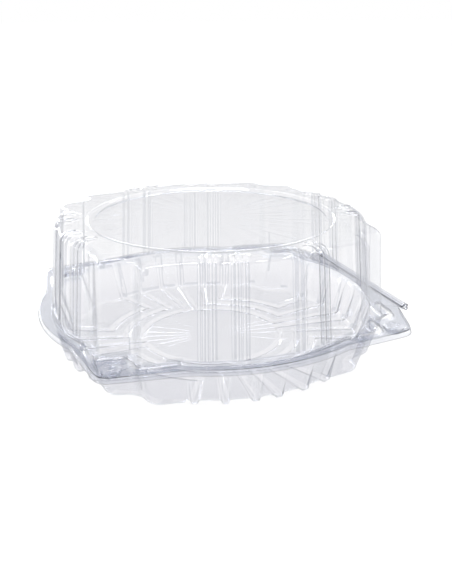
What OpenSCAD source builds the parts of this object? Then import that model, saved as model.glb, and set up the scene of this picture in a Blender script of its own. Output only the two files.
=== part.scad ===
// Hinged cake container, thermoformed from one clear plastic sheet.
// A fluted tray and a tall ribbed lid share a rim with four corner ears.
// They fold together at a rolled bead on the +X side and close with a ridge and four snap dimples.
// Each face of the rim is an inset of one master surface, so lid and tray always nest.

/* [Sheet] */
// Thickness of the clear sheet
sheet_t = 0.5; // [0.35:0.05:0.6]
// Gap between the lid and the tray where they lie on each other
seat_gap = 0.3; // [0.2:0.05:0.4]

/* [Plan] */
// Radius of the lid's wall where it meets the rim, at the middle of a side
wall_r = 120; // [118:0.5:124]
// How far the straight sides of a corner lie inside the bulge of the side wall
lobe_inset = 15; // [14:0.2:17]
// Side of the square notch cut out of each corner
notch_w = 22; // [20:1:24]
// How far the corners lean less than the sides, at the lid's shoulder and at the tray's floor
corner_out = 2.2; // [1:0.2:3]
// Width of the rim, from the lid's wall to the round edge
rim_w = 11; // [10.5:0.5:14]

/* [Lid] */
// Height of the lid above the rim
lid_h = 66; // [50:1:90]
// How far the lid's wall leans out from top to rim
lid_draft = 5.2; // [3:0.2:8]
// Radius of the shoulder between the lid's wall and its top
shoulder_r = 7; // [5:0.5:8]
// Radius of the round panel sunk in the top
panel_r = 93; // [92:0.5:95]
// Depth of the round panel
panel_d = 2.2; // [1.2:0.2:4]
// Run of the sloping edge of the round panel
panel_run = 2.2; // [1:0.2:4]
// Radius of the middle of the round panel, which stands a little above its edge
panel_step_r = 86.5; // [60:0.5:87]
// Height of the middle of the round panel above its edge
panel_step_h = 0.5; // [0.3:0.1:0.8]

/* [Lid ribs] */
// Angle from the middle of a side to its first group of ribs
rib_angle_1 = 9.5; // [8:0.5:11]
// Angle from the middle of a side to its second group of ribs
rib_angle_2 = 19.8; // [18:0.2:21]
// Spacing of the ribs in a group
rib_pitch = 4.8; // [4.5:0.1:5.1]
// Width of a rib at its foot
rib_w = 4.4; // [4:0.1:4.7]
// Width of a rib at its crest
rib_crest = 1.8; // [1.4:0.1:2.2]
// Height of a rib above the wall
rib_h = 1.7; // [1:0.1:2.2]
// Radius at which the outer ribs of a group start on the top
rib_start_side = 102.5; // [100:0.5:104]
// Radius at which the middle rib of a group starts on the top
rib_start_mid = 98.5; // [96:0.5:99.5]

/* [Tray] */
// Height of the tray from the table to the top of its rim
tray_h = 32.5; // [24:0.5:50]
// How far the tray's wall leans in from rim to floor
tray_draft = 9; // [6:0.5:10]
// Width of the ledge between the tray's mouth and the foot of the lid's wall
mouth_step = 2.4; // [1.8:0.2:2.6]
// Height of the sloping edge between the tray's wall and its floor
edge_h = 3.2; // [2:0.2:6]
// Run of the sloping edge between the tray's wall and its floor
edge_run = 2.6; // [1.6:0.2:4]

/* [Tray flutes] */
// Angle from the middle of a side to its first flute
flute_angle = 4.2; // [3.4:0.2:5]
// Angle between neighbouring flutes
flute_step = 10.3; // [9.5:0.1:10.5]
// Width of a flute at the wall
flute_w = 7.2; // [6:0.2:8]
// Width of a flute at its crest
flute_crest = 4; // [3:0.2:5]
// Height of a flute above the wall, at the floor
flute_h = 3; // [2:0.2:4]
// Width of a floor channel at the floor
channel_w = 5.2; // [4.4:0.2:6.4]
// Width of a floor channel at the foot that it rests on
channel_foot = 2.8; // [2:0.2:3.4]
// Height of the floor above the feet
floor_lift = 1.3; // [1:0.1:2]
// Radius of the innermost floor channel
channel_r = 54; // [46:1:56]
// Spacing of the floor channels that run round a corner
channel_step = 13; // [11:0.5:13.5]

/* [Rim ridge] */
// Distance from the lid's wall to the sealing ridge
ridge_start = 3.2; // [3:0.2:3.8]
// Width of the sealing ridge at its foot
ridge_w = 5.8; // [5.6:0.2:6.4]
// Run of each sloping side of the sealing ridge
ridge_run = 1.4; // [1.2:0.1:1.6]
// Height of the sealing ridge
ridge_h = 2.8; // [2:0.2:3.4]
// Angle from the middle of a side at which the ridge starts to rise
ridge_rise_angle = 6; // [4:1:9]
// Angle from the middle of a side at which the ridge stops beside a corner
ridge_end_angle = 28; // [27:0.2:28.4]
// Angle of the gap between that end and the ridge round the corner
ridge_gap_angle = 2.8; // [2.4:0.2:3.4]
// Height of the skirt turned down from the edge of the tray's rim
skirt_h = 3.2; // [2:0.2:5]
// How far the edge of the tray's rim stands out past the lid's rim
skirt_out = 1.2; // [0.8:0.1:2]

/* [Corner ears] */
// Angle from the middle of a side at which the edge of an ear leaves the round rim
ear_angle = 24.6; // [22:0.2:26]
// Lean of the straight edges of an ear
ear_lean = 7.3; // [5:0.1:8]
// Lean of the edges of the two ears beside the hinge
hinge_ear_lean = 18.8; // [16:0.2:20]
// How far the ears beside the hinge start inside the hinge line
hinge_ear_inset = 6; // [5:0.5:8]
// Radius of a snap dimple at the ear
snap_r = 7.2; // [6:0.2:8]
// Radius of the floor of a snap dimple
snap_floor_r = 5; // [4:0.2:5.6]
// Depth of a snap dimple
snap_d = 3.5; // [2.5:0.25:4.5]
// Distance between a snap dimple and the ridge beside it
snap_gap = 2.2; // [1.6:0.2:3]

/* [Hinge] */
// Length of the hinge bead
hinge_len = 143; // [100:1:144]
// Inner radius of the lid's half of the hinge bead
hinge_r = 1.4; // [1.2:0.1:2]

/* [Hidden] */
$fn = 24;

// Small overlap that keeps joined solids joined and cuts clean
eps = 0.2;

// Heights of the rim: top of the tray's rim, underside and top of the lid's rim
tray_rim_z = tray_h;
lid_rim_z = tray_rim_z + seat_gap;
master_z = lid_rim_z + sheet_t;
lid_top_z = lid_rim_z + lid_h;

// Insets of the rim's faces below the master surface, which is the top of the lid's rim
lid_under = sheet_t;
tray_top = sheet_t + seat_gap;
tray_under = 2 * sheet_t + seat_gap;

// Plan of the walls: bulged sides, and straight-sided corners with a notch that makes two lobes.
// A higher sharpness gives tighter corners.
rim_r = wall_r + rim_w;
lobe_s = wall_r - lobe_inset;
notch_n = lobe_s - notch_w;
lid_sharp = 36;
ridge_sharp = 18;
tray_sharp = 16;
crease_sharp = 80;

function soft_min(a, b, k) = a * pow(1 + pow(a / b, k), -1 / k);
function soft_max(a, b, k) = a * pow(1 + pow(b / a, k), 1 / k);
function backwards(list) = [for (i = [len(list) - 1:-1:0]) list[i]];
function turn(mm) = mm / wall_r * 180 / PI;

// How far a corner of a sheet's section moves along the surface for each unit of inset
function miter(rise, run) = tan(atan(rise / run) / 2);

// Distance from the axis to a wall's plan at an angle, with the plan grown by g
function plan(a, g, k) =
    let (u = max(abs(cos(a)), abs(sin(a))), v = max(min(abs(cos(a)), abs(sin(a))), 0.02))
    soft_max(wall_r + g, soft_min((lobe_s + g) / u, (notch_n + g) / v, k), crease_sharp);

// Share of a corner's form at an angle: none beside the ribs and flutes, all from the lobes on
function corner(a) = min(max((abs((a + 405) % 90 - 45) - 26.5) / 2.5, 0), 1);

// A half side lists its stations from the middle of a side at 0 to the corner at 45.
// A station is [angle, weight 1, weight 2], and this puts them all the way round.
function around(h) = [for (q = [0:3]) for (s = concat(
    [for (i = [len(h) - 2:-1:1]) [-h[i][0], h[i][1], h[i][2]]], h)) [q * 90 + s[0], s[1], s[2]]];
function plain(list) = [for (a = list) [a, 0, 0]];

// A loop is a list of [angle, radius, height]. Two loops are joined by going round both at once,
// so that they may have different numbers of points. The way back splits each field of a sheet
// along the same diagonal as the way out, so that its faces and its neighbours' stay parallel.
function middles(p) = [for (i = [0:len(p) - 1])
    (p[i][0] + (i < len(p) - 1 ? p[i + 1][0] : p[0][0] + 360)) / 2];
function joined(p, q, at_p, at_q, back) =
    let (mp = middles(p), mq = middles(q), n = len(p), m = len(q))
    concat(
        [for (i = [0:n - 1])
            let (j = len([for (x = mq) if (x < mp[i] || back && x == mp[i]) 1]) % m)
            [at_p + i, at_q + j, at_p + (i + 1) % n]],
        [for (j = [0:m - 1])
            let (i = len([for (x = mp) if (x < mq[j] || !back && x == mq[j]) 1]) % n)
            [at_q + j, at_q + (j + 1) % m, at_p + i]]);

// Closed sheet through loops that go out along its underside and back in along its top
module shell(loops) {
    n = len(loops);
    at = [for (i = 0, s = 0; i < n; s = s + len(loops[i]), i = i + 1) s];
    first = loops[0];
    last = loops[n - 1];
    low = at[n - 1] + len(last);
    points = [for (p = loops) for (s = p) [s[1] * cos(s[0]), s[1] * sin(s[0]), s[2]]];
    centres = [[0, 0, first[0][2]], [0, 0, last[0][2]]];
    walls = [for (i = [0:n - 2]) each joined(loops[i], loops[i + 1], at[i], at[i + 1], i >= n / 2)];
    low_fan = [for (j = [0:len(first) - 1]) [j, (j + 1) % len(first), low]];
    high_fan = [for (j = [0:len(last) - 1]) [at[n - 1] + j, low + 1, at[n - 1] + (j + 1) % len(last)]];
    polyhedron(concat(points, centres), concat(low_fan, walls, high_fan), convexity = 8);
}

// Sealing ridge, which is the same at each side. It comes round a corner and stops, leaves the rim
// flat, rises again along the side, and goes on past a gap round the next corner.
// A station is [angle from the middle of a side, share of the ridge's height, share of its width].
ridge_slope = 1.1;
ridge_stop_angle = -28.6;
ridge_again_angle = ridge_end_angle + ridge_gap_angle + ridge_slope;
function rising(part) = ridge_rise_angle + (ridge_end_angle - ridge_rise_angle) * part;
ridge_first_corner = [[-42, 1, 1], [-38.5, 1, 1], [-34, 1, 1], [ridge_stop_angle, 1, 1],
    [ridge_stop_angle + ridge_slope, 0, 1]];
ridge_side = [[-17, 0, 0.5], [-6, 0, 0], [rising(0), 0, 0], [rising(1 / 3), 0.4, 0.4],
    [rising(2 / 3), 0.75, 0.75], [rising(1), 1, 1]];
ridge_gap = [[ridge_end_angle + ridge_slope, 0, 1], [ridge_again_angle - ridge_slope, 0, 1]];
ridge_next_corner = [[ridge_again_angle, 1, 1], [36, 1, 1], [39, 1, 1], [42, 1, 1], [45, 1, 1]];
ridge_spots = [for (q = [0:3]) for (s = concat(ridge_first_corner, ridge_side, ridge_gap, ridge_next_corner))
    [q * 90 + s[0], s[1], s[2]]];

// The ridge as four loops of the sheet at an inset, which lie closer together where it is narrow
flat_w = 3.2;
flat_run = 0.4;
function ridge_loops(inset) =
    let (m = inset * miter(ridge_h, ridge_run), z = master_z - inset)
    [for (i = [0:3]) [for (s = ridge_spots)
        let (w = flat_w + (ridge_w - flat_w) * s[2], run = flat_run + (ridge_run - flat_run) * s[2])
        let (out = [m, m + run, w - m - run, w - m][i], rise = i == 1 || i == 2 ? ridge_h * s[1] : 0)
        [s[0], plan(s[0], ridge_start + out, ridge_sharp), z + rise]]];

// Edge of the rim at an angle: round at the sides, an ear at each corner, straight at the hinge
ear_c = rim_r * cos(ear_angle - ear_lean);
bead_end = 325;
hinge_x = rim_r + skirt_out - (hinge_r + 2 * sheet_t + seat_gap) * cos(bead_end);
hinge_half = hinge_len / 2;
hinge_ear_x = hinge_x - hinge_ear_inset;
hinge_ear_c = hinge_ear_x * cos(hinge_ear_lean) + hinge_half * sin(hinge_ear_lean);
tip_k = 45;
function ear(a, c1, t1, c2, t2) = soft_min(c1 / cos(a - t1), c2 / cos(90 - t2 - a), tip_k);
function rim_edge(angle, g, x) =
    let (turned = (angle + 360) % 360, a = min(turned, 360 - turned), c = ear_c + g)
    a < atan(hinge_half / x) + 0.01 ? x / cos(a)
        : a < 90 - ear_angle ? ear(a, hinge_ear_c + g, hinge_ear_lean, c, ear_lean)
        : abs(a - 90) < ear_angle || a > 180 - ear_angle ? rim_r + g
        : ear(a - 90, c, ear_lean, c, ear_lean);
function rim_spots(g, x) = around(plain([0, 8, 16, ear_angle, atan(hinge_half / x),
    atan(hinge_half / (hinge_ear_x + g)), 42.8, 45]));
function rim_loop(g, x, z) = [for (s = rim_spots(g, x)) [s[0], rim_edge(s[0], g, x), z]];

// Snap dimple in each ear, as a solid above the surface at an inset
snap_xy = notch_n + ridge_start + ridge_w + snap_gap + snap_r;
snap_run = snap_r - snap_floor_r;
module snap_dimples(inset, rise) {
    m = inset * miter(snap_d, snap_run);
    for (x = [-snap_xy, snap_xy], y = [-snap_xy, snap_xy])
        translate([x, y, master_z - inset - snap_d])
            cylinder(h = snap_d + rise, r1 = snap_floor_r + m, r2 = snap_r + m + rise * snap_run / snap_d);
}

// Half of the rolled hinge bead, between two angles seen along the hinge
hinge_z = tray_rim_z + seat_gap / 2;
module hinge_bead(inner, from, to) {
    far = 4 * hinge_r + 4 * sheet_t;
    sector = [for (i = [0:3]) let (a = from + (to - from) * i / 3) far * [cos(a), sin(a)]];
    translate([hinge_x, hinge_half, hinge_z])
        rotate([90, 0, 0])
            linear_extrude(hinge_len)
                intersection() {
                    difference() {
                        circle(inner + sheet_t);
                        circle(inner);
                    }
                    polygon(concat([[0, 0]], sector));
                }
}

// Stations of the lid's wall, with three ribs in a group and one point in each valley
function rib_group(a, inset) =
    let (m = inset * miter(rib_h, (rib_w - rib_crest) / 2), p = turn(rib_pitch))
    let (foot = turn(rib_w / 2 - m), crest = turn(rib_crest / 2 - m))
    concat([[a - p - foot, 0, 0]], [for (j = [-1:1])
        let (side = abs(j), mid = 1 - abs(j), c = a + j * p)
        each [[c - crest, side, mid], [c + crest, side, mid], [j < 1 ? c + p / 2 : c + foot, 0, 0]]]);
function lid_spots(inset) = around(concat([[0, 0, 0]], rib_group(rib_angle_1, inset),
    rib_group(rib_angle_2, inset), plain([29, 36, 38.3, 40.4, 45])));
panel_spots = plain([for (a = [-35:10:315]) a]);

// The lid's sheet at an inset, as loops from the middle of its top out to the rim
function lid_skin(inset) =
    let (top = lid_top_z - inset, run = shoulder_r, bend = run * (1 - cos(45)), spots = lid_spots(inset))
    let (m = inset * miter(panel_d, panel_run))
    // Each panel row is [radius, height]
    let (panel = [
        [panel_step_r, top - panel_d + panel_step_h],
        [panel_r - panel_run + m, top - panel_d],
        [panel_r + m, top]])
    // Each wall row is [growth, growth at the corners, height, share of the ribs outwards, share upwards]
    let (rows = [
        [-lid_draft - inset - run, corner_out, top, 0, 0.8],
        [-lid_draft - inset - bend, corner_out, top - bend, 0.7, 0.7],
        [-lid_draft - inset, corner_out, top - run, 1, 0],
        [-inset, 0, master_z - inset, 1, 0]])
    concat(
        [for (r = panel) [for (s = panel_spots) [s[0], r[0], r[1]]]],
        [[for (s = spots) [s[0], s[2] == 1 ? rib_start_mid : rib_start_side, top]]],
        [for (r = rows) [for (s = spots)
            let (h = rib_h * max(s[1], s[2]), g = r[0] + r[1] * corner(s[0]))
            [s[0], plan(s[0], g, lid_sharp) + h * r[3], r[2] + h * r[4]]]],
        ridge_loops(inset),
        [rim_loop(0, hinge_x - hinge_r - sheet_t / 2, master_z - inset)]);

// Stations of the tray's wall, with weight 1 on the crests of the flutes
flute_angles = [for (i = [0:2]) flute_angle + i * flute_step];
function flute(a, half, crest) = [[a - half, 0, 0], [a - crest, 1, 0], [a + crest, 1, 0], [a + half, 0, 0]];
function tray_spots(inset) =
    let (m = inset * miter(flute_h, (flute_w - flute_crest) / 2))
    let (half = turn(flute_w / 2 - m), crest = turn(flute_crest / 2 - m))
    around(concat([[0, 0, 0]], [for (a = flute_angles) each flute(a, half, crest)],
        plain([30.5, 34.5, 38, 41.5, 45])));

// Stations of the n-th floor channel. The flutes before the n-th cross it on their way in,
// and between the n-th flute and the corner, where weight 2 is 1, the channel runs round.
function channel_spots(inset, n, r) =
    let (m = inset * miter(floor_lift, (channel_w - channel_foot) / 2), a = flute_angles[n - 1])
    let (half = turn(channel_w / 2 - m) * wall_r / r, crest = turn(channel_foot / 2 - m) * wall_r / r)
    around(concat([[0, 0, 0]], [for (i = [0:1:n - 2]) each flute(flute_angles[i], half, crest)],
        [[a - half, 0, 0], [a - crest, 1, 1], [a + crest, 1, 1]],
        [for (i = [1:5 - n]) [a + crest + (45 - a - crest) * i / (5 - n), 0, 1]]));

// The n-th floor channel as loops at its inner edge, its foot and its outer edge
function channel_loops(inset, n) =
    let (r = channel_r + (n - 1) * channel_step, spots = channel_spots(inset, n, r))
    [for (side = [-1:1]) [for (s = spots)
        let (crosses = s[1] == 1 && s[2] == 0, turns = s[2] == 1 && side == 0)
        let (leaves = s[1] == 1 && side == 1)
        [s[0], r + side * channel_w / 2, inset + (crosses || turns || leaves ? 0 : floor_lift)]]];

// The tray's sheet at an inset of the wall and one of the rim, from the middle out to the skirt
function tray_skin(inset, rim_inset) =
    let (mouth = mouth_step + sheet_t - inset, g = skirt_out - (rim_inset - tray_top))
    let (spots = tray_spots(inset))
    let (x = hinge_x - hinge_r - 3 * sheet_t / 2 - seat_gap - (rim_inset - tray_top))
    // Each wall row is [growth, height, share of flutes and corners outwards, how far they reach down]
    let (rows = [
        [mouth - tray_draft - edge_run, inset + floor_lift, 1, floor_lift],
        [mouth - tray_draft, inset + floor_lift + edge_h, 1, 0],
        [mouth, master_z - rim_inset, 0, 0]])
    concat(
        channel_loops(inset, 1),
        channel_loops(inset, 2),
        channel_loops(inset, 3),
        [for (r = rows) [for (s = spots)
            let (c = corner(s[0]), g = r[0] + r[2] * corner_out * c)
            [s[0], plan(s[0], g, tray_sharp) + flute_h * r[2] * s[1], r[1] - r[3] * max(s[1], c)]]],
        ridge_loops(rim_inset),
        [rim_loop(g, x, master_z - rim_inset)],
        [[for (s = rim_spots(g, x)) [s[0], rim_edge(s[0], g, x),
            abs(s[0]) < atan(hinge_half / x) + 0.01 ? tray_rim_z - 2 * sheet_t : tray_rim_z - skirt_h]]]);

// Tray with its fluted wall, channelled floor, rim, skirt, ridge and half of the hinge bead
module base_tray() {
    color([0.84, 0.87, 0.91])
        union() {
            difference() {
                union() {
                    shell(concat(tray_skin(0, tray_under), backwards(tray_skin(sheet_t, tray_top))));
                    snap_dimples(tray_under, sheet_t / 2);
                }
                snap_dimples(tray_top, eps);
            }
            hinge_bead(hinge_r + sheet_t + seat_gap, 180, bead_end);
        }
}

// Lid with its ribbed wall, shoulder, sunk top panel, rim, ridge and half of the hinge bead
module lid_dome() {
    color([0.89, 0.91, 0.94])
        union() {
            difference() {
                union() {
                    shell(concat(lid_skin(lid_under), backwards(lid_skin(0))));
                    snap_dimples(lid_under, sheet_t / 2);
                }
                snap_dimples(0, eps);
            }
            hinge_bead(hinge_r, 0, 180);
        }
}

base_tray();
lid_dome();
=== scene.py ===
# %% [markdown]
# A plastic cake container, formed from one sheet
#
# The real thing is a flat sheet of clear polyester that was warmed and sucked down over a mould.
# It has a fluted tray, a tall ribbed lid and a rolled hinge between them. Nothing is glued on, so
# all its detail is relief in a sheet half a millimetre thick. This lesson lays flat grids over
# the same forms, gives them the sheet's thickness, and then lights them; painted shade and painted
# highlights in the sheet's colour help the edges draw.

# %% Load the imported model
import math

import bmesh
import bpy
import numpy as np
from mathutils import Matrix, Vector


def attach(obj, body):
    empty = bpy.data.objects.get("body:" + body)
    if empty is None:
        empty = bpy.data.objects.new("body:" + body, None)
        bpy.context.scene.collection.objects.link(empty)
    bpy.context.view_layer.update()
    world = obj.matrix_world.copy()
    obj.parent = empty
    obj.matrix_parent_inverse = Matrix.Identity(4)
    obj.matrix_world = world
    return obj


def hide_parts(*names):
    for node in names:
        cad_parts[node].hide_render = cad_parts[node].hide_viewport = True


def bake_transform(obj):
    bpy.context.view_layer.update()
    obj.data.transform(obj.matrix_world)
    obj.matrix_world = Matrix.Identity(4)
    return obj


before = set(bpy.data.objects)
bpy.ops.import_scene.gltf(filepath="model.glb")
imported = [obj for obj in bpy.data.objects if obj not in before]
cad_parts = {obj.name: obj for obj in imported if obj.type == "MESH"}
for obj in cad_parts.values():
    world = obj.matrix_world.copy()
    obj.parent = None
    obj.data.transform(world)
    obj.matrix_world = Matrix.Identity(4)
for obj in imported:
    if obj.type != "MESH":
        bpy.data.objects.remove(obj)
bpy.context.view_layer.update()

MM = 0.001

# %% [markdown]
# The sizes below are the container's driving dimensions, in millimetres and degrees. The plan of
# its walls repeats on four sides: a bulged middle, straight sides at each corner, and a square
# notch cut out of the corner. An angle counts from the middle of the hinge side.

# %% Sizes of the walls and the rim
SHEET_T = 0.5
SEAT_GAP = 0.3
WALL_R = 120.0
LOBE_S = WALL_R - 15.0
NOTCH_N = LOBE_S - 22.0
RIM_R = WALL_R + 11.0
SKIRT_OUT = 1.2
LID_SHARP, RIDGE_SHARP, TRAY_SHARP, CREASE_SHARP = 36.0, 18.0, 16.0, 80.0
CORNER_OUT, CORNER_STARTS, CORNER_RUN = 2.2, 26.5, 2.5
TRAY_RIM_Z = 32.5
LID_RIM_Z = TRAY_RIM_Z + SEAT_GAP + SHEET_T
LID_TOP_Z = TRAY_RIM_Z + SEAT_GAP + 66.0
HINGE_X, HINGE_Z = 129.99, TRAY_RIM_Z + SEAT_GAP / 2
HINGE_HALF = 71.5
LEAST_SINE, LEAST_COSINE, ANGLE_SLACK = 0.02, 0.05, 0.01


def soft_min(a, b, sharp):
    """The smaller of two distances, rounded where they meet. A higher sharp rounds less."""
    return a * (1 + (a / b) ** sharp) ** (-1 / sharp)


def soft_max(a, b, sharp):
    """The larger of two distances, rounded where they meet."""
    return a * (1 + (b / a) ** sharp) ** (1 / sharp)


def plan(angle, growth, sharp=LID_SHARP):
    """Distance from the axis to the wall's plan, with the plan grown by some millimetres."""
    c, s = np.abs(np.cos(np.radians(angle))), np.abs(np.sin(np.radians(angle)))
    across, along = np.maximum(c, s), np.maximum(np.minimum(c, s), LEAST_SINE)
    corner = soft_min((LOBE_S + growth) / across, (NOTCH_N + growth) / along, sharp)
    return soft_max(WALL_R + growth, corner, CREASE_SHARP)


def along_side(angle):
    """Degrees from the middle of the nearest side, from -45 to 45."""
    return (np.asarray(angle) + 45.0) % 90.0 - 45.0


def from_side(angle):
    """Degrees from the middle of the nearest side, from 0 to 45."""
    return np.abs(along_side(angle))


def from_hinge(angle):
    """Degrees from the middle of the hinge side, from 0 to 180."""
    return np.abs((np.asarray(angle) + 180.0) % 360.0 - 180.0)


def ramp(x):
    """A smooth step from 0 to 1 while x goes from 0 to 1."""
    x = np.clip(x, 0.0, 1.0)
    return x * x * (3 - 2 * x)


def corner_share(angle):
    """Share of a corner's form: none beside the ribs and flutes, all from the lobes on."""
    return ramp((from_side(angle) - CORNER_STARTS) / CORNER_RUN)


print("wall plan at the side, lobe and notch:", plan(np.array([0.0, 38.3, 45.0]), 0).round(1))

# %% [markdown]
# The rim's edge is a circle that four ears run out from. On the hinge side it is cut straight, and
# the ears start a little further in. Two lines that lean towards each other make an ear, and a
# soft minimum rounds its tip.

# %% Edge of the rim
EAR_ANGLE, EAR_LEAN, TIP_SHARP, JOIN_SHARP = 24.6, 7.3, 45.0, 260.0
EAR_LINE = RIM_R * math.cos(math.radians(EAR_ANGLE - EAR_LEAN))
HINGE_EAR_LEAN, HINGE_EAR_X = 18.8, HINGE_X - 6.0
HINGE_EAR_LINE = (
    HINGE_EAR_X * math.cos(math.radians(HINGE_EAR_LEAN))
    + HINGE_HALF * math.sin(math.radians(HINGE_EAR_LEAN))
)


def line_at(distance, lean, angle):
    """Distance from the axis to a straight line, which comes nearest to it at the angle lean."""
    return distance / np.maximum(np.cos(np.radians(angle - lean)), LEAST_COSINE)


def rim_edge(angle, growth, hinge_x):
    """Distance from the axis to the rim's edge. growth moves the edge outwards."""
    turned = from_hinge(angle)
    in_corner = np.where(turned > 90, turned - 90, turned)
    plain_ear = soft_min(
        line_at(EAR_LINE + growth, EAR_LEAN, in_corner),
        line_at(EAR_LINE + growth, EAR_LEAN, 90 - in_corner),
        TIP_SHARP,
    )
    hinge_ear = soft_min(
        line_at(HINGE_EAR_LINE + growth, HINGE_EAR_LEAN, in_corner),
        line_at(EAR_LINE + growth, EAR_LEAN, 90 - in_corner),
        TIP_SHARP,
    )
    edge = soft_max(RIM_R + growth, plain_ear, JOIN_SHARP)
    joined_ear = soft_max(RIM_R + growth, hinge_ear, JOIN_SHARP)
    edge = np.where((turned < 90) & (turned > 90 - EAR_ANGLE), joined_ear, edge)
    edge = np.where(turned <= 90 - EAR_ANGLE, hinge_ear, edge)
    end = math.degrees(math.atan2(HINGE_HALF, hinge_x))
    straight = hinge_x / np.cos(np.radians(turned))
    return np.where(turned <= end + ANGLE_SLACK, straight, edge)


LID_EDGE_X, TRAY_EDGE_X = HINGE_X - 2.4, HINGE_X - 2.6
shown = rim_edge(np.array([225.0, 270.0]), 0.0, LID_EDGE_X)
print("rim edge towards an ear and the front:", shown.round(1))

# %% [markdown]
# Relief needs points only where something happens. So the columns of the grid stand close
# together at ribs, flutes and corners, and far apart on plain wall. The spacing is in millimetres
# along the wall.

# %% Columns of the grid
RIB_GROUPS = (9.5, 19.8)
RIB_PITCH, RIB_HALF, RIB_EDGE, RIB_H = 4.8, 2.2, 1.3, 1.7
FLUTES = (4.2, 14.5, 24.8)
RIDGE_RISES, RIDGE_STOPS, RIDGE_GOES_ON, RIDGE_COMES_IN, RIDGE_SLOPE = 6.0, 28.0, 31.9, -27.4, 1.1
LOBE_ANGLE, GROUP_REACH, FLUTE_REACH, BEFORE_END, AFTER_END = 36.0, 3.5, 2.6, 1.5, 0.5
PLAIN_STEP, RIB_STEP, FLUTE_STEP, RIDGE_END_STEP = 3.0, 0.62, 0.9, 1.0
LID_LOBE_STEP, TRAY_LOBE_STEP = 1.1, 1.2
PROBE, END_NUDGE = 0.01, 0.12
EAR_STARTS = math.degrees(math.atan2(HINGE_HALF, HINGE_EAR_X))


def columns(spacing, extra=()):
    """Angles all the way round, laid out on an eighth of the plan and mirrored."""
    eighth = [0.0]
    while eighth[-1] < 45.0:
        a = np.array([eighth[-1], eighth[-1] + PROBE])
        r = plan(a, 0)
        x, y = r * np.cos(np.radians(a)), r * np.sin(np.radians(a))
        speed = math.hypot(x[1] - x[0], y[1] - y[0]) / PROBE
        eighth.append(eighth[-1] + spacing(eighth[-1]) / speed)
    eighth = np.array(eighth) * (45.0 / eighth[-1])
    side = np.concatenate([-eighth[:0:-1], eighth[:-1]])
    turn = np.concatenate([side + 90.0 * q for q in range(4)])
    return np.unique(np.round(np.concatenate([turn, extra]), 4))


def at_ridge_ends(a):
    return RIDGE_STOPS - BEFORE_END < a < RIDGE_GOES_ON + AFTER_END


def lid_spacing(a):
    if min(abs(a - g) for g in RIB_GROUPS) < GROUP_REACH:
        return RIB_STEP
    if a > LOBE_ANGLE:
        return LID_LOBE_STEP
    return RIDGE_END_STEP if at_ridge_ends(a) else PLAIN_STEP


def tray_spacing(a):
    if min(abs(a - f) for f in FLUTES) < FLUTE_REACH or at_ridge_ends(a):
        return FLUTE_STEP
    return TRAY_LOBE_STEP if a > LOBE_ANGLE else PLAIN_STEP


HINGE_ENDS = [
    sign * math.degrees(math.atan2(HINGE_HALF, x)) + nudge
    for sign in (-1, 1)
    for x, nudge in ((LID_EDGE_X, 0.0), (LID_EDGE_X, sign * END_NUDGE), (HINGE_EAR_X, 0.0))
]
LID_COLUMNS = columns(lid_spacing, HINGE_ENDS)
TRAY_COLUMNS = columns(tray_spacing, HINGE_ENDS)
print("columns:", len(LID_COLUMNS), "in the lid and", len(TRAY_COLUMNS), "in the tray")

# %% [markdown]
# A formed sheet is a flat sheet first. `create_grid` makes one with a column for each angle and a
# row for each ring of the form. Each row is then laid on its ring, the two ends of the grid meet
# and are merged, and the innermost row closes to a point.

# %% A grid laid on rings
MERGE_REACH, LEVEL_REACH, DIMPLE_MARGIN, DIMPLE_CUTS = 0.0005, 0.1, 1.2, 2


def laid_grid(angles, rows):
    """A bmesh of one sheet. A row is (distances from the axis, heights), one of each for a column."""
    sheet = bmesh.new()
    count = len(angles)
    bmesh.ops.create_grid(sheet, x_segments=count, y_segments=len(rows) - 1, size=1.0)
    turned = np.radians(np.append(angles, angles[0] + 360.0))
    distance = np.array([np.broadcast_to(r, count) for r, z in rows], float)
    height = np.array([np.broadcast_to(z, count) for r, z in rows], float)
    for vert in sheet.verts:
        i = round((vert.co.x + 1.0) / 2.0 * count)
        j = round((vert.co.y + 1.0) / 2.0 * (len(rows) - 1))
        r = distance[j, i % count]
        vert.co = Vector((r * math.cos(turned[i]), r * math.sin(turned[i]), height[j, i % count])) * MM
    bmesh.ops.remove_doubles(sheet, verts=sheet.verts, dist=MERGE_REACH * MM)
    return sheet


def near_any(point, centres, reach):
    return any(math.hypot(point.x / MM - x, point.y / MM - y) < reach for x, y in centres)


def press_dimples(sheet, centres, floor_r, top_r, depth, level):
    """Splits the faces at each centre, and presses a round dimple into the finer mesh."""
    reach = top_r + DIMPLE_MARGIN
    edges = [
        e for e in sheet.edges
        if all(near_any(v.co, centres, reach) and abs(v.co.z / MM - level) < LEVEL_REACH for v in e.verts)
    ]
    bmesh.ops.subdivide_edges(sheet, edges=edges, cuts=DIMPLE_CUTS, use_grid_fill=True)
    for vert in sheet.verts:
        if abs(vert.co.z / MM - level) > LEVEL_REACH:
            continue
        for x, y in centres:
            d = math.hypot(vert.co.x / MM - x, vert.co.y / MM - y)
            if d < top_r:
                vert.co.z -= depth * MM * float(ramp((top_r - d) / (top_r - floor_r)))


# Faces beside edges that bend more than this, narrower than BEND_W, get the bends' painted highlight and
# shade lines.
BEND_ANGLE, BEND_W = math.radians(17.0), 1.3
EDGE_SLOT, PAINTED_LINE_SLOT = 1, 2


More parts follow.
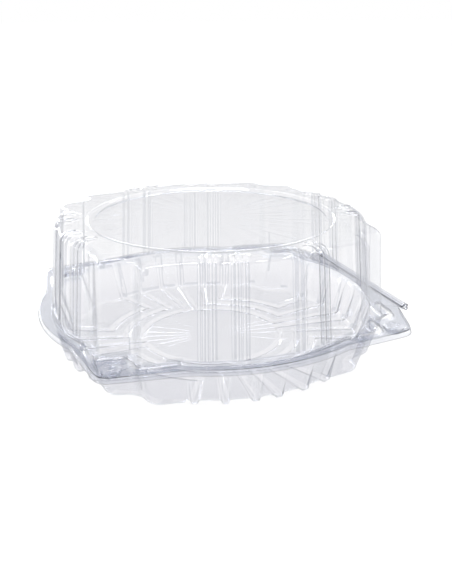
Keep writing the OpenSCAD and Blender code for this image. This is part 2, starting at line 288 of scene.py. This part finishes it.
def finished(name, sheet, upwards, thickness):
    """Makes the object, faces outwards, with painted highlight and shade lines on its bends and the
    sheet's thickness behind.
    """
    bmesh.ops.recalc_face_normals(sheet, faces=sheet.faces)
    middle = min(sheet.faces, key=lambda f: f.calc_center_median().xy.length)
    if (middle.normal.z > 0) != upwards:
        bmesh.ops.reverse_faces(sheet, faces=sheet.faces)
    # Faces beside sharp bends take the slot of the painted highlight and shade lines.
    for edge in sheet.edges:
        if edge.calc_face_angle(0.0) > BEND_ANGLE:
            for face in edge.link_faces:
                if min(side.calc_length() for side in face.edges) < BEND_W * MM:
                    face.material_index = PAINTED_LINE_SLOT
    data = bpy.data.meshes.new(name)
    sheet.to_mesh(data)
    sheet.free()
    data.shade_smooth()
    piece = bpy.data.objects.new(name, data)
    bpy.context.scene.collection.objects.link(piece)
    wall = piece.modifiers.new("sheet thickness", "SOLIDIFY")
    wall.thickness = thickness * MM
    wall.offset = -1.0
    wall.use_even_offset = True
    wall.thickness_clamp = 2.0
    # The sheet's cut rim takes the slot of the painted edge shade.
    wall.material_offset_rim = EDGE_SLOT
    print(name, "has", len(data.polygons), "faces before its thickness")
    return piece


# %% [markdown]
# Lid and tray share the rim's relief: a narrow ledge, a sealing ridge that follows the wall, and
# a flat band out to the edge. The ridge is the same on each side. It comes round a corner and stops,
# the middle of the side is flat, then it rises slowly, ends square, and goes on round the next corner.

# %% Rows of the rim
RIDGE_START, RIDGE_W, FLAT_W, RIDGE_H = 3.2, 5.8, 1.2, 2.8
WIDENING_STARTS, WIDENING_RUN, RISE_POWER = 17.0, 15.0, 0.8
RIDGE_SHAPE = ((0.0, 0.0), (0.12, 0.3), (0.26, 0.85), (0.5, 1.0), (0.74, 0.85), (0.88, 0.3), (1.0, 0.0))
BAND_ROWS = 8


def ridge_shares(angle):
    """Shares of the ridge's height and width at an angle. Where the height is 0 the rim is flat."""
    a = along_side(angle)
    rising = np.clip((a - RIDGE_RISES) / (RIDGE_STOPS - RIDGE_RISES), 0.0, 1.0) ** RISE_POWER
    along = rising * ramp((RIDGE_STOPS + RIDGE_SLOPE - a) / RIDGE_SLOPE)
    next_corner = ramp((a - RIDGE_GOES_ON) / RIDGE_SLOPE + 1.0)
    last_corner = ramp((RIDGE_COMES_IN - a) / RIDGE_SLOPE)
    width = np.maximum(rising, ramp((RIDGE_COMES_IN + WIDENING_STARTS - a) / WIDENING_RUN))
    return along + next_corner + last_corner, width


def rim_rows(angles, level, edge):
    """Rows of the rim from the ridge's inner foot out to the edge."""
    height_share, width_share = ridge_shares(angles)
    width = FLAT_W + (RIDGE_W - FLAT_W) * width_share
    rows = [
        (plan(angles, RIDGE_START + across * width, RIDGE_SHARP), level + rise * RIDGE_H * height_share)
        for across, rise in RIDGE_SHAPE
    ]
    foot = plan(angles, RIDGE_START + width, RIDGE_SHARP)
    for i in range(1, BAND_ROWS + 1):
        rows.append((foot + (edge - foot) * i / BAND_ROWS, level))
    return rows


SNAP_FLOOR_R, SNAP_R, SNAP_D, SNAP_GAP = 5.0, 7.2, 3.5, 2.2
SNAP_XY = NOTCH_N + RIDGE_START + RIDGE_W + SNAP_GAP + SNAP_R
SNAPS = [(x, y) for x in (-SNAP_XY, SNAP_XY) for y in (-SNAP_XY, SNAP_XY)]
print("snap dimples at", SNAPS[0])

# %% [markdown]
# The lid's top is a round panel, sunk about 2 mm, in a flat land. Ribs in groups of three
# climb the wall, bend over the shoulder and die out on the land in round arches. A rib is a
# distance from its centre line turned into a height, so its end rounds itself.

# %% The lid's relief
PANEL_R, PANEL_D, PANEL_RUN = 93.0, 2.2, 2.2
STEP_R, STEP_H, STEP_RUN = 86.5, 0.5, 1.6
LID_DRAFT, SHOULDER_R, FOOT_R = 5.2, 7.0, 1.3
LAND_START, LAND_ROWS = PANEL_R + 0.9, 13
RIB_STARTS, RIB_SINKS = {-1: 102.5, 0: 98.5, 1: 102.5}, 0.8
PANEL_RINGS, LID_WALL_SHARES = (0.0, 30.0, 60.0, 82.0), (0.3, 0.65, 0.96)


def rib_relief(angle, r):
    """Height of the ribs above the sheet, at an angle and a distance from the axis."""
    a = from_side(angle)
    height = np.zeros(np.shape(a))
    for group in RIB_GROUPS:
        for j, start in RIB_STARTS.items():
            across = np.radians(a - group) * WALL_R - j * RIB_PITCH
            beyond = np.maximum(start + RIB_HALF - r, 0.0)
            d = np.hypot(across, beyond)
            height = np.maximum(height, RIB_H * ramp((RIB_HALF - d) / RIB_EDGE))
    return height


def lid_rows(angles):
    """Rows of the lid from the middle of its panel out to the rim's edge."""
    top = LID_TOP_Z
    panel = top - PANEL_D
    rows = [(r, panel + STEP_H) for r in PANEL_RINGS]
    for share in (0.0, 0.33, 0.67, 1.0):
        rows.append((STEP_R + STEP_RUN * (share - 0.5), panel + STEP_H * (1 - float(ramp(share)))))
    for share in (0.0, 0.15, 0.35, 0.65, 0.85, 1.0):
        rows.append((PANEL_R - PANEL_RUN + PANEL_RUN * share, panel + PANEL_D * float(ramp(share))))
    lean = LID_DRAFT - CORNER_OUT * corner_share(angles)
    shoulder = plan(angles, -lean - SHOULDER_R)
    for i in range(1, LAND_ROWS + 1):
        r = LAND_START + (shoulder - LAND_START) * (i - 1) / (LAND_ROWS - 1)
        rows.append((r, top + RIB_SINKS * rib_relief(angles, r)))
    for turn in (15, 30, 45, 60, 75, 90):
        c, s = math.cos(math.radians(turn)), math.sin(math.radians(turn))
        r = plan(angles, -lean - SHOULDER_R * (1 - s))
        lift = rib_relief(angles, r)
        rows.append((r + s * lift, top - SHOULDER_R * (1 - c) + RIB_SINKS * c * lift))
    for share in LID_WALL_SHARES:
        z = top - SHOULDER_R - (top - SHOULDER_R - LID_RIM_Z) * share
        r = plan(angles, -lean * (1 - share))
        rows.append((r + rib_relief(angles, r), z))
    for turn in (30, 60, 90):
        s, c = math.sin(math.radians(turn)), math.cos(math.radians(turn))
        r = plan(angles, FOOT_R * (1 - c))
        fade = 1 - turn / 90
        rows.append((r + fade * rib_relief(angles, r), LID_RIM_Z + FOOT_R * (1 - s)))
    edge = rim_edge(angles, 0.0, LID_EDGE_X)
    return rows + rim_rows(angles, LID_RIM_Z, edge)


lid_sheet = laid_grid(LID_COLUMNS, lid_rows(LID_COLUMNS))
press_dimples(lid_sheet, SNAPS, SNAP_FLOOR_R, SNAP_R, SNAP_D, LID_RIM_Z)
clear_lid = finished("clear_lid", lid_sheet, upwards=True, thickness=SHEET_T)
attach(clear_lid, "lid")
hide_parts("lid_dome")

# %% [markdown]
# The tray's wall is fluted, six flutes to a side. Each flute runs on under the floor as a channel,
# turns, follows an arc round the corner and comes out as the matching flute of the next side. The
# tray stands on these channels. Here the nearest distance to that bent path becomes the depth.

# %% The tray's relief
MOUTH, TRAY_DRAFT, BOTTOM_R = 2.9, 9.0, 3.0
FLUTE_HALF, FLUTE_EDGE, FLUTE_H = 3.6, 1.7, 3.2
CHANNELS = tuple(zip(FLUTES, (54.0, 67.0, 80.0)))
CHANNEL_HALF, CHANNEL_EDGE, FLOOR_Z = 2.7, 1.7, 1.3
CHANNEL_STEPS = (-3.2, -2.2, -1.2, 0.0, 1.2, 2.2, 3.2, 6.4)
MIDDLE_RINGS, FLOOR_END, MOUTH_STEP = [0.0, 20.0, 40.0, 48.0], 90.0, 0.1
TRAY_WALL_SHARES = (0.2, 0.45, 0.7, 0.9)
SKIRT_H, SKIRT_BEND, HINGE_SKIRT_H = 3.2, 0.9, 0.2


def channel_depth(angle, r, half):
    """How deep the channels go below the floor, from 0 to 1."""
    a = from_side(angle)
    depth = np.zeros(np.shape(a))
    for flute, arc_r in CHANNELS:
        beside = np.abs(np.radians(a - flute)) * r
        inside = np.maximum(arc_r - r, 0.0)
        leg = np.hypot(beside, inside)
        arc = np.where(a > flute, np.abs(r - arc_r), leg)
        depth = np.maximum(depth, ramp((half - np.minimum(leg, arc)) / CHANNEL_EDGE))
    return depth


def flute_relief(angle):
    """How far the flutes stand out, from 0 to 1."""
    a = from_side(angle)
    relief = np.zeros(np.shape(a))
    for flute in FLUTES:
        across = np.abs(np.radians(a - flute)) * WALL_R
        relief = np.maximum(relief, ramp((FLUTE_HALF - across) / FLUTE_EDGE))
    return relief


def floor_rings():
    """Distances of the floor's rings from the axis, close together at the channels' arcs."""
    arcs = [arc_r + step for _, arc_r in CHANNELS for step in CHANNEL_STEPS]
    return MIDDLE_RINGS + arcs + [FLOOR_END]


def tray_rows(angles):
    """Rows of the tray from the middle of its floor out to the foot of its skirt."""
    rows = [(r, FLOOR_Z * (1 - channel_depth(angles, r, CHANNEL_HALF))) for r in floor_rings()]
    flute, corner = flute_relief(angles), corner_share(angles)
    foot = np.maximum(flute, corner)
    lean = TRAY_DRAFT - CORNER_OUT * corner
    bottom = plan(angles, MOUTH - lean - BOTTOM_R, TRAY_SHARP)
    for share in (0.2, 0.4, 0.6, 0.8, 1.0):
        half = CHANNEL_HALF + (FLUTE_HALF - CHANNEL_HALF) * share
        r = FLOOR_END + (bottom + FLUTE_H * flute * share - FLOOR_END) * share
        depth = np.maximum(channel_depth(angles, r, half), foot * share)
        rows.append((r, FLOOR_Z * (1 - depth)))
    for turn in (18, 36, 54, 72, 90):
        s, c = math.sin(math.radians(turn)), math.cos(math.radians(turn))
        r = plan(angles, MOUTH - lean - BOTTOM_R * (1 - s), TRAY_SHARP)
        rows.append((r + FLUTE_H * flute, FLOOR_Z * (1 - foot * (1 - turn / 90)) + BOTTOM_R * (1 - c)))
    low, high = FLOOR_Z + BOTTOM_R, TRAY_RIM_Z - SHEET_T
    for share in TRAY_WALL_SHARES:
        r = plan(angles, MOUTH - lean * (1 - share), TRAY_SHARP)
        rows.append((r + FLUTE_H * flute * (1 - share), low + (high - low) * share))
    rows.append((plan(angles, MOUTH + MOUTH_STEP, (TRAY_SHARP + RIDGE_SHARP) / 2), high))
    edge = rim_edge(angles, SKIRT_OUT - SHEET_T - SKIRT_BEND, TRAY_EDGE_X)
    rows += rim_rows(angles, high, edge)
    for turn in (30, 60, 90):
        s, c = math.sin(math.radians(turn)), math.cos(math.radians(turn))
        out = edge + SKIRT_BEND * s
        rows.append((out, high - SKIRT_BEND * (1 - c)))
    hinge = from_hinge(angles) <= EAR_STARTS
    for share in (0.5, 1.0):
        drop = np.where(hinge, HINGE_SKIRT_H, SKIRT_H - SHEET_T - SKIRT_BEND) * share
        rows.append((edge + SKIRT_BEND, high - SKIRT_BEND - drop))
    return rows


tray_sheet = laid_grid(TRAY_COLUMNS, tray_rows(TRAY_COLUMNS))
press_dimples(tray_sheet, SNAPS, SNAP_FLOOR_R, SNAP_R, SNAP_D, TRAY_RIM_Z - SHEET_T)
clear_tray = finished("clear_tray", tray_sheet, upwards=False, thickness=SHEET_T)
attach(clear_tray, "tray")
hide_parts("base_tray")

# %% [markdown]
# The hinge is the same sheet, rolled into a double bead that folds in the middle. Its section is
# drawn once as a line of points and extruded along the hinge.

# %% The rolled hinge
BEAD_R, FILM_T, FILM_CUTS = 1.15, 0.4, 24
FILM_LAP, ROLL_TURNS = (-0.6, 0.5), range(140, -91, -20)


def bead_section():
    """Points of the section, from the lid's rim round two rolls to the tray's rim."""
    centre_x = RIM_R + SKIRT_OUT - FILM_T - BEAD_R
    points = [(LID_EDGE_X + x, LID_RIM_Z - SHEET_T / 2) for x in FILM_LAP]
    turns = [math.radians(t) for t in ROLL_TURNS]
    upper = [(centre_x + BEAD_R * math.cos(t), HINGE_Z + BEAD_R + BEAD_R * math.sin(t)) for t in turns]
    lower = [(x, 2 * HINGE_Z - z) for x, z in reversed(upper[:-1])]
    return points + upper + lower + [(x, 2 * HINGE_Z - z) for x, z in reversed(points)]


film = bmesh.new()
line = [film.verts.new(Vector((x, -HINGE_HALF, z)) * MM) for x, z in bead_section()]
for a, b in zip(line, line[1:]):
    film.edges.new((a, b))
drawn = bmesh.ops.extrude_edge_only(film, edges=film.edges[:])["geom"]
far_end = [g for g in drawn if isinstance(g, bmesh.types.BMVert)]
bmesh.ops.translate(film, verts=far_end, vec=(0.0, 2 * HINGE_HALF * MM, 0.0))
lengthways = [e for e in film.edges if abs(e.verts[0].co.y - e.verts[1].co.y) > MM]
bmesh.ops.subdivide_edges(film, edges=lengthways, cuts=FILM_CUTS, use_grid_fill=True)
film_data = bpy.data.meshes.new("hinge_film")
film.to_mesh(film_data)
film.free()
film_data.shade_smooth()
hinge_film = bpy.data.objects.new("hinge_film", film_data)
bpy.context.scene.collection.objects.link(hinge_film)
film_wall = hinge_film.modifiers.new("film thickness", "SOLIDIFY")
film_wall.thickness = FILM_T * MM
film_wall.offset = 0.0
film_wall.material_offset_rim = EDGE_SLOT
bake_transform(hinge_film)
print("hinge film has", len(film_data.polygons), "faces")

# %% [markdown]
# Clear polyester sheet hardly bends what is seen through it, because its two faces are parallel.
# It shows by what it takes away at a slant, where light crosses more plastic, and by what it
# mirrors. So the shader mixes a tinted see-through one with a mirror, by the angle of view. The
# tint by slant is that loss in part; its near-black end at the edge of view is painted shade that
# draws the dark outlines. Head-on the mirror's share is that of an index of 1.57, and it grows
# with the fifth power of the slant.
# The mirror's colour is painted darker towards the edge of view, as painted shade in the
# reflection, or the white room would wash out the dark lines. A slow waviness from forming tilts
# both a little.
#
# Narrow bends carry painted light: fully clear at a middling slant, which paints a white highlight
# line, and darker head-on and where they turn away, which paints shade lines beside it. The cut
# edge is painted nearly black as shade, where the view runs on inside the sheet. The sheet stays
# thicker where it is drawn less: most at the rim, less in the shallow tray and the sunk panel, least
# in the lid's wall. A ramp over the height tints it darker there, partly for that gauge, and in the
# tray and around the rim also as painted shade.

# %% Finish of the clear sheet, with painted shade and highlights
HEAD_ON_MIRROR, MIRROR_POWER = 0.049, 5.0
FORMED_ROUGHNESS, CUT_ROUGHNESS = 0.07, 0.2
WAVE_LENGTH, WAVE_H, WAVE_STRENGTH = 22.0, 0.6, 0.1
PANEL_Z = LID_TOP_Z - PANEL_D
# Mirror colour by slant: a pale tint head-on, and darker at the edge of view as painted shade in place of
# a darker room reflected.
MIRROR_PAINTED_SHADE_STOPS = ((0.0, "#EBEBEE"), (0.6, "#E6E7EA"), (0.75, "#DFE0E3"), (0.9, "#B4B7C1"), (1.0, "#6E7382"))
# See-through tint by slant: a slight real loss, and near-black at the edge of view as painted shade for
# the outlines.
SHEET_TINT_AND_SHADE_STOPS = (
    (0.0, "#EFEFF1"), (0.15, "#EFEFF1"), (0.3, "#F7F7F8"), (0.42, "#F4F4F6"), (0.53, "#EBECEE"),
    (0.6, "#ECEDEF"), (0.68, "#FAFAFB"), (0.8, "#F7F7F8"), (0.9, "#D6D8DF"), (1.0, "#454A59"),
)
# Painted light on narrow bends: fully clear at a middling slant as a white highlight line, darker head-on
# and at the edge of view as painted shade lines.
BEND_PAINTED_LINE_STOPS = (
    (0.0, "#E6E7EA"), (0.12, "#E8E9EC"), (0.25, "#FFFFFF"), (0.6, "#FFFFFF"), (0.75, "#FCFCFC"),
    (0.88, "#E4E5E9"), (1.0, "#353A48"),
)
# The cut edge is painted nearly black as shade.
EDGE_PAINTED_SHADE_STOPS = ((0.0, "#1C1F29"), (1.0, "#161922"))
# Tint by height, darker at the rim, in the tray and in the sunk panel: partly the thicker gauge where the
# sheet is drawn less, and in the tray and around the rim also painted shade.
GAUGE_AND_SHADE_FACES = 4
GAUGE_AND_SHADE_STOPS = (
    (0.0, "#F0F0F3"), (TRAY_RIM_Z - 5.5, "#F0F0F3"), (TRAY_RIM_Z - 4.5, "#E7E9EF"),
    (LID_RIM_Z + 0.6, "#E7E9EF"), (LID_RIM_Z + 1.6, "#FFFFFF"), (PANEL_Z - 1.2, "#FFFFFF"),
    (PANEL_Z - 0.4, "#F0F0F2"), (PANEL_Z + 0.8, "#F0F0F2"), (PANEL_Z + 1.6, "#FFFFFF"),
    (LID_TOP_Z, "#FFFFFF"),
)


def linear(hex_colour):
    """An sRGB hex value as a linear colour with full alpha."""
    parts = [int(hex_colour[i:i + 2], 16) / 255 for i in (1, 3, 5)]
    return (*[p / 12.92 if p <= 0.04045 else ((p + 0.055) / 1.055) ** 2.4 for p in parts], 1.0)


def add(tree, kind, links=None, **settings):
    """Adds a node, sets what settings name, and links its inputs to the given outputs."""
    node = tree.nodes.new(kind)
    for key, value in settings.items():
        if hasattr(node, key):
            setattr(node, key, value)
        else:
            node.inputs[key.replace("_", " ")].default_value = value
    for key, output in (links or {}).items():
        tree.links.new(output, node.inputs[key])
    return node


def colour_ramp(tree, factor, stops):
    """A ramp through stops of (place, linear colour). The first place is 0 and the last is 1."""
    node = add(tree, "ShaderNodeValToRGB", {"Fac": factor})
    elements = node.color_ramp.elements
    elements[0].color = stops[0][1]
    elements[-1].color = stops[-1][1]
    for place, colour in stops[1:-1]:
        elements.new(place).color = colour
    return node


def one_face(hex_colour, faces):
    """The tint of one face, from what white looks like through a number of faces in a row."""
    return (*[c ** (1 / faces) for c in linear(hex_colour)[:3]], 1.0)


def clear_sheet_material(name, stops, faces, roughness):
    """See-through plastic, with painted shade in its tints. stops give the tint of a number of faces by
    their slant to the view.
    """
    material = bpy.data.materials.new(name)
    material.use_nodes = True
    tree = material.node_tree
    tree.nodes.clear()
    place = add(tree, "ShaderNodeTexCoord")
    wave = add(
        tree, "ShaderNodeTexNoise", {"Vector": place.outputs["Object"]},
        Scale=1 / (WAVE_LENGTH * MM), Detail=1.0,
    )
    bump = add(
        tree, "ShaderNodeBump", {"Height": wave.outputs["Fac"]},
        Strength=WAVE_STRENGTH, Distance=WAVE_H * MM,
    )
    slant = add(tree, "ShaderNodeLayerWeight", {"Normal": bump.outputs["Normal"]}, Blend=0.5)
    by_slant = colour_ramp(tree, slant.outputs["Facing"], [(x, one_face(c, faces)) for x, c in stops])
    axes = add(tree, "ShaderNodeSeparateXYZ", {"Vector": place.outputs["Object"]})
    height = add(tree, "ShaderNodeMapRange", {"Value": axes.outputs["Z"]}, From_Max=LID_TOP_Z * MM)
    # The height ramp tints by gauge and paints shade in the tray and around the rim.
    gauge_and_shade = [(z / LID_TOP_Z, one_face(c, GAUGE_AND_SHADE_FACES)) for z, c in GAUGE_AND_SHADE_STOPS]
    by_height = colour_ramp(tree, height.outputs[0], gauge_and_shade)
    tint = add(
        tree, "ShaderNodeVectorMath", {0: by_slant.outputs["Color"], 1: by_height.outputs["Color"]},
        operation="MULTIPLY",
    )
    through = add(tree, "ShaderNodeBsdfTransparent", {"Color": tint.outputs[0]})
    # This ramp paints shade into the reflection at the edge of view.
    mirrored = colour_ramp(tree, slant.outputs["Facing"], [(x, linear(c)) for x, c in MIRROR_PAINTED_SHADE_STOPS])
    mirror = add(
        tree, "ShaderNodeBsdfPrincipled",
        {"Normal": bump.outputs["Normal"], "Base Color": mirrored.outputs["Color"]},
        Roughness=roughness, Metallic=1.0,
    )
    steep = add(tree, "ShaderNodeMath", {0: slant.outputs["Facing"]}, operation="POWER")
    steep.inputs[1].default_value = MIRROR_POWER
    share = add(tree, "ShaderNodeMapRange", {"Value": steep.outputs[0]}, To_Min=HEAD_ON_MIRROR)
    both = add(
        tree, "ShaderNodeMixShader",
        {"Fac": share.outputs[0], 1: through.outputs["BSDF"], 2: mirror.outputs["BSDF"]},
    )
    add(tree, "ShaderNodeOutputMaterial", {"Surface": both.outputs["Shader"]})
    return material


finishes = (
    # The sheet's tints by slant, by height and in its mirror carry painted shade.
    clear_sheet_material("clear_polyester_with_painted_shade", SHEET_TINT_AND_SHADE_STOPS, faces=4, roughness=FORMED_ROUGHNESS),
    # The cut edge gets its painted shade.
    clear_sheet_material("cut_edge_painted_shade", EDGE_PAINTED_SHADE_STOPS, faces=1, roughness=CUT_ROUGHNESS),
    # Bends get their painted highlight and shade lines.
    clear_sheet_material("bend_painted_highlight_and_shade", BEND_PAINTED_LINE_STOPS, faces=2, roughness=FORMED_ROUGHNESS),
)
for piece in (clear_lid, clear_tray, hinge_film):
    for finish in finishes:
        piece.data.materials.append(finish)
print("finishes:", [finish.name for finish in finishes])

# %% [markdown]
# A product shot of clear plastic is taken against white. The floor and the world show as plain
# white to the camera and in the plastic, while the lamps stay at a level that leaves the greys of
# the sheet's tint, painted shade included, and long soft boxes draw white lines along its bends,
# beside the white lines painted on the bends.

# %% Floor, world and lamps
FLOOR_HALF, FLOOR_DROP = 12000.0, 0.02
FLOOR_GLOW, FLOOR_GREY = 0.8, 0.25
ROOM_LIGHT, ROOM_SEEN = 0.9, 1.0
AIMED_AT = Vector((0, 0, 50 * MM))


def seen_share(tree):
    """An output of 1 where the camera sees the white, straight, mirrored or through a piece, else 0."""
    path = add(tree, "ShaderNodeLightPath")
    direct = add(
        tree, "ShaderNodeMath", {0: path.outputs["Is Camera Ray"], 1: path.outputs["Is Glossy Ray"]},
        operation="MAXIMUM",
    )
    seen = add(
        tree, "ShaderNodeMath", {0: direct.outputs[0], 1: path.outputs["Is Transmission Ray"]},
        operation="MAXIMUM",
    )
    return seen.outputs[0]


floor_mesh = bmesh.new()
bmesh.ops.create_grid(floor_mesh, x_segments=1, y_segments=1, size=FLOOR_HALF * MM)
bmesh.ops.translate(floor_mesh, verts=floor_mesh.verts, vec=(0, 0, -FLOOR_DROP * MM))
floor_data = bpy.data.meshes.new("floor")
floor_mesh.to_mesh(floor_data)
floor_mesh.free()
floor = bpy.data.objects.new("floor", floor_data)
bpy.context.scene.collection.objects.link(floor)

floor_paint = bpy.data.materials.new("white_table")
floor_paint.use_nodes = True
tree = floor_paint.node_tree
tree.nodes.clear()
level = add(tree, "ShaderNodeMath", {0: seen_share(tree)}, operation="MULTIPLY")
level.inputs[1].default_value = FLOOR_GLOW
glow = add(tree, "ShaderNodeEmission", {"Strength": level.outputs[0]})
matt = add(tree, "ShaderNodeBsdfDiffuse", Color=(FLOOR_GREY, FLOOR_GREY, FLOOR_GREY, 1))
both = add(tree, "ShaderNodeAddShader", {0: glow.outputs[0], 1: matt.outputs[0]})
add(tree, "ShaderNodeOutputMaterial", {"Surface": both.outputs[0]})
floor_data.materials.append(floor_paint)

world = bpy.data.worlds.new("white_room")
bpy.context.scene.world = world
world.use_nodes = True
tree = world.node_tree
tree.nodes.clear()
level = add(tree, "ShaderNodeMapRange", {"Value": seen_share(tree)}, To_Min=ROOM_LIGHT, To_Max=ROOM_SEEN)
sky = add(tree, "ShaderNodeBackground", {"Strength": level.outputs[0]}, Color=(1, 1, 1, 1))
add(tree, "ShaderNodeOutputWorld", {"Surface": sky.outputs[0]})


def soft_box(name, place, size, brightness):
    """A soft lamp that faces the container. place and size are in metres. A brightness of 1 is white."""
    lamp = bpy.data.lights.new(name, "AREA")
    lamp.shape = "RECTANGLE"
    lamp.size, lamp.size_y = size
    lamp.energy = brightness * math.pi * size[0] * size[1]
    holder = bpy.data.objects.new(name, lamp)
    bpy.context.scene.collection.objects.link(holder)
    holder.location = place
    holder.visible_camera = False
    holder.visible_transmission = False
    aim = AIMED_AT - Vector(place)
    holder.rotation_euler = aim.to_track_quat("-Z", "Y").to_euler()


soft_box("box_above", (-0.1, -0.35, 1.3), (1.2, 0.25), 9.0)
soft_box("box_left", (-1.3, -0.2, 0.9), (1.0, 0.2), 6.0)
soft_box("box_right", (1.3, 0.0, 0.9), (1.0, 0.2), 4.0)
soft_box("box_behind", (-0.2, 1.6, 0.2), (2.6, 0.12), 9.0)

# %% [markdown]
# The camera stands where the photograph was taken from: low in front, turned a little towards the
# corner without the hinge. Light crosses many sheets on its way, so the path may be long.

# %% Camera
LENS, SENSOR_W, NEAREST = 47.4, 36.0, 0.01
CAMERA_AT = (-182.5, -531.7, 245.3)
CAMERA_TILT, CAMERA_TURN = 69.6, -20.1
SHEETS_CROSSED, BOUNCES = 64, 16
camera_data = bpy.data.cameras.new("camera")
camera_data.lens = LENS
camera_data.sensor_width = SENSOR_W
camera_data.clip_start = NEAREST
camera = bpy.data.objects.new("camera", camera_data)
camera.location = [c * MM for c in CAMERA_AT]
camera.rotation_euler = (math.radians(CAMERA_TILT), 0.0, math.radians(CAMERA_TURN))
scene = bpy.context.scene
scene.collection.objects.link(camera)
scene.camera = camera
scene.view_settings.view_transform = "Standard"
scene.cycles.transparent_max_bounces = SHEETS_CROSSED
scene.cycles.max_bounces = BOUNCES
print("camera at", [round(x, 3) for x in camera.location])
